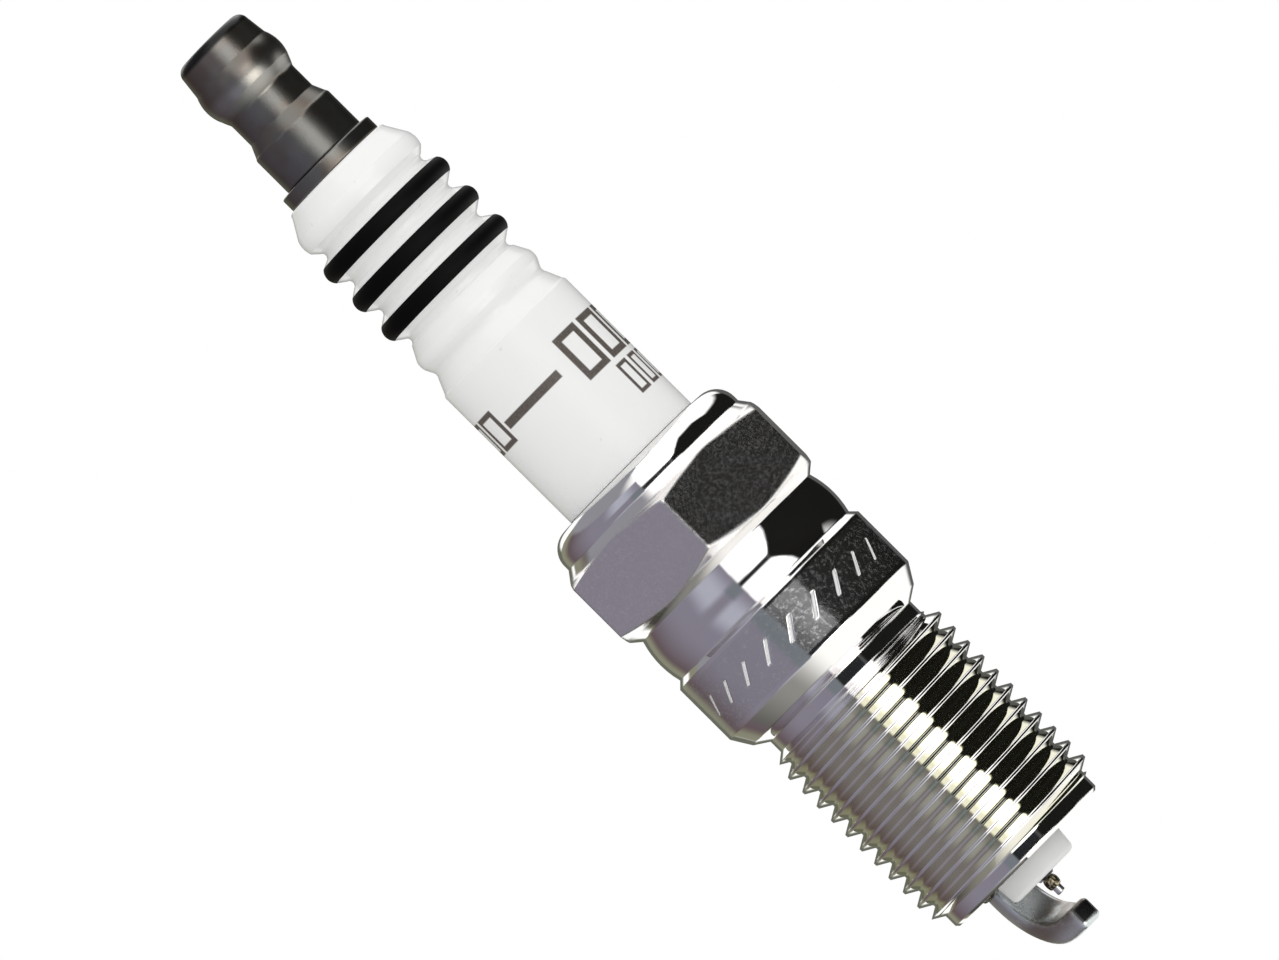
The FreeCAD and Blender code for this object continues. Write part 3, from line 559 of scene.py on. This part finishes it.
def weld_metal():
    """Rough golden-brown weld with dark specks."""
    m = Material("weld_metal", metallic=1.0)
    lump = m.noise(m.place, 3.0, 4.0, 0.7)
    dark = m.rise(m.noise(m.place, 4.0, 2.0, 0.6), 0.44, 0.56)
    tone = m.mix(lump, (0.30, 0.24, 0.14), (0.62, 0.54, 0.38))
    m.set(Base_Color=m.mix(dark, tone, (0.05, 0.045, 0.035)))
    m.set(Roughness=m.scale_to(lump, 0.25, 0.5))
    m.set(Normal=m.bump(lump, 0.04 * MM))
    return m.block


def dull_solid(name, low, high, rough, per_mm, depth):
    """Dull mineral or glass filling."""
    m = Material(name)
    grain = m.noise(m.place, per_mm, 4.0, 0.65)
    m.set(Base_Color=m.mix(grain, low, high))
    m.set(Roughness=m.scale_to(grain, *rough))
    m.set(Normal=m.bump(grain, depth))
    return m.block


# --- pieces made here ----------------------------------------------------------------------

def finish_piece(shape, name, body, material, stands_for):
    """Turn the built shape into a smooth piece that stands for CAD nodes."""
    bmesh.ops.recalc_face_normals(shape, faces=shape.faces)
    for face in shape.faces:
        face.smooth = True
    mesh = bpy.data.meshes.new(name)
    shape.to_mesh(mesh)
    shape.free()
    mesh.materials.append(material)
    piece = bpy.data.objects.new(name, mesh)
    bpy.context.scene.collection.objects.link(piece)
    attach(piece, body)
    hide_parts(*stands_for)
    return piece


def extrude_end(shape, face):
    """Extrude one end face and return the new end face."""
    made = bmesh.ops.extrude_face_region(shape, geom=[face])["geom"]
    bmesh.ops.delete(shape, geom=[face], context="FACES_ONLY")
    return next(part for part in made if isinstance(part, bmesh.types.BMFace))


def build_strap(material):
    """Bent ground strap with rounded edges, tapered towards its end over the tip."""
    shape = bmesh.new()
    bmesh.ops.create_grid(shape, x_segments=1, y_segments=1, size=0.5)
    bmesh.ops.scale(shape, vec=(STRAP_THICK, STRAP_WIDE, 1.0), verts=shape.verts)
    bmesh.ops.translate(shape, vec=(STRAP_REACH - STRAP_THICK / 2, 0, SHELL_END), verts=shape.verts)
    end = shape.faces[:][0]
    bmesh.ops.duplicate(shape, geom=[end])
    end = extrude_end(shape, end)
    bend_top = STRAP_OUTSIDE + STRAP_BEND
    bmesh.ops.translate(shape, vec=(0, 0, bend_top - SHELL_END), verts=end.verts)
    turned = bmesh.ops.spin(shape, geom=[end], cent=(STRAP_REACH - STRAP_BEND, 0, bend_top),
                            axis=(0, 1, 0), angle=math.pi / 2, steps=BEND_STEPS)
    bmesh.ops.delete(shape, geom=[end], context="FACES_ONLY")
    end = next(part for part in turned["geom_last"] if isinstance(part, bmesh.types.BMFace))
    stride = (STRAP_END - (STRAP_REACH - STRAP_BEND)) / ARM_STEPS
    for _ in range(ARM_STEPS):
        end = extrude_end(shape, end)
        bmesh.ops.translate(shape, vec=(stride, 0, 0), verts=end.verts)
    for vert in shape.verts:
        along = (vert.co.x - TAPER_FOOT) / (TAPER_START - TAPER_FOOT)
        vert.co.y *= min(1.0, TAPER_RATIO + (1 - TAPER_RATIO) * along)
    bmesh.ops.remove_doubles(shape, verts=shape.verts, dist=MERGE_DISTANCE)
    bmesh.ops.recalc_face_normals(shape, faces=shape.faces)
    sharp = [edge for edge in shape.edges
             if len(edge.link_faces) == 2 and edge.calc_face_angle() > SHARP_EDGE]
    bmesh.ops.bevel(shape, geom=sharp, offset=STRAP_EDGE, segments=EDGE_SEGMENTS, profile=0.5,
                    affect="EDGES", material=-1)
    bmesh.ops.rotate(shape, cent=(0, 0, 0), matrix=Matrix.Rotation(STRAP_TURN, 3, "Z"), verts=shape.verts)
    strap = finish_piece(shape, "ground_strap", "plug", material, ["ground_electrode"])
    keep_flats(strap)


def keep_flats(piece):
    """Let the large faces keep their own direction, so that only the rounded edges turn."""
    weigh = piece.modifiers.new("flats", "WEIGHTED_NORMAL")
    weigh.weight = FLAT_WEIGHT


def build_strap_weld(material):
    """Beads of upset metal where the strap meets the shell's end face."""
    shape = bmesh.new()
    for across, aside, radius in WELD_BEADS:
        for hand in (1, -1):
            made = bmesh.ops.create_icosphere(shape, subdivisions=3, radius=radius * MM)["verts"]
            bmesh.ops.scale(shape, vec=(1.0, BEAD_WIDE, BEAD_TALL + BEAD_TALLER * across), verts=made)
            root = STRAP_REACH - STRAP_THICK / 2 + across * MM * BEAD_SPREAD
            bmesh.ops.translate(shape, vec=(root, aside * hand * MM, SHELL_END), verts=made)
    everything = shape.verts[:] + shape.edges[:] + shape.faces[:]
    bmesh.ops.bisect_plane(shape, geom=everything, plane_co=(0, 0, SHELL_END), plane_no=(0, 0, 1),
                           dist=MERGE_DISTANCE, clear_outer=True)
    rims = [edge for edge in shape.edges if edge.is_boundary]
    bmesh.ops.holes_fill(shape, edges=rims)
    bmesh.ops.rotate(shape, cent=(0, 0, 0), matrix=Matrix.Rotation(STRAP_TURN, 3, "Z"), verts=shape.verts)
    finish_piece(shape, "strap_weld_beads", "plug", material, ["ground_weld"])


def build_tip_weld(material):
    """Rippled ring of weld round the fine wire."""
    shape = bmesh.new()
    low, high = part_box("tip_weld_bead")
    middle = (low.z + high.z) / 2
    bmesh.ops.create_circle(shape, segments=RING_SIDES, radius=0.5, cap_ends=False)
    bmesh.ops.rotate(shape, cent=(0, 0, 0), matrix=Matrix.Rotation(math.pi / 2, 3, "X"), verts=shape.verts)
    bmesh.ops.scale(shape, vec=(high.x * RING_WALL, 1.0, (high.z - low.z) * RING_TALL), verts=shape.verts)
    bmesh.ops.translate(shape, vec=(high.x * RING_MIDDLE, 0, middle), verts=shape.verts)
    bmesh.ops.spin(shape, geom=shape.verts[:] + shape.edges[:], cent=(0, 0, 0), axis=(0, 0, 1),
                   angle=math.tau, steps=RING_STEPS, use_merge=True)
    for vert in shape.verts:
        turn = math.atan2(vert.co.y, vert.co.x)
        ripple = RIPPLE * math.sin(RIPPLES * turn + RIPPLE_START)
        lump = LUMP * math.sin(LUMPS * turn + vert.co.z / MM * LUMP_TWIST)
        swell = RING_SWELL + ripple + lump
        vert.co.x *= swell
        vert.co.y *= swell
    finish_piece(shape, "tip_weld_ring", "plug", material, ["tip_weld_bead"])


def paint_nodes():
    """Give every CAD node its finish. Nodes that share one are listed in same."""
    finishes = {
        "shell": shell_plating(),
        "insulator": ceramic_glaze(),
        "terminal_nut": terminal_plating(),
        "electrode_sheath": nickel_alloy(),
        "iridium_tip": plain_metal("iridium", (0.80, 0.79, 0.78), (0.92, 0.91, 0.90),
                                   (0.25, 0.4), 0.003 * MM),
        "tip_weld_bead": weld_metal(),
        "electrode_copper_core": plain_metal("copper", (0.80, 0.42, 0.28), (0.88, 0.50, 0.36),
                                             (0.2, 0.35), 0.004 * MM),
        "upper_packing_ring": plain_metal("packing_steel", (0.42, 0.42, 0.43), (0.55, 0.55, 0.56),
                                          (0.3, 0.45), 0.004 * MM),
        "upper_glass_seal": dull_solid("seal_glass", (0.05, 0.06, 0.06), (0.16, 0.15, 0.13),
                                       (0.25, 0.5), 3.0, 0.01 * MM),
        "resistor_core": dull_solid("resistor_body", (0.02, 0.02, 0.02), (0.07, 0.065, 0.06),
                                    (0.5, 0.8), 5.0, 0.01 * MM),
        "talc_fill": dull_solid("talc", (0.62, 0.61, 0.57), (0.78, 0.77, 0.73),
                                (0.8, 0.95), 6.0, 0.02 * MM),
        "rib_ring_upper": ring_rubber(),
    }
    same = {
        "rib_ring_middle": "rib_ring_upper",
        "rib_ring_lower": "rib_ring_upper",
        "terminal_stud": "terminal_nut",
        "lower_glass_seal": "upper_glass_seal",
        "lower_packing_ring": "upper_packing_ring",
        "seat_washer": "upper_packing_ring",
        "ground_electrode": "electrode_sheath",
        "ground_weld": "electrode_sheath",
    }
    for name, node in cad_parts.items():
        node.data.materials.clear()
        node.data.materials.append(finishes[same.get(name, name)])
    return finishes


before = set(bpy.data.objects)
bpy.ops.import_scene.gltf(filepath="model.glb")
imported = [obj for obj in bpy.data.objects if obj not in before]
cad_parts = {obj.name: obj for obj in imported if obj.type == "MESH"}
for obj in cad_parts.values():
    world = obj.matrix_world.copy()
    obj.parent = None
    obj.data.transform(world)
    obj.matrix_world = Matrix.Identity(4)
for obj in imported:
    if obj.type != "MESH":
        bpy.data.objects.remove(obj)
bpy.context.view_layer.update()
bpy.context.scene.view_settings.view_transform = "Standard"
aim_camera()
lay_floor()
light_studio()
finishes = paint_nodes()
build_strap(finishes["electrode_sheath"])
build_strap_weld(finishes["tip_weld_bead"])
build_tip_weld(finishes["tip_weld_bead"])
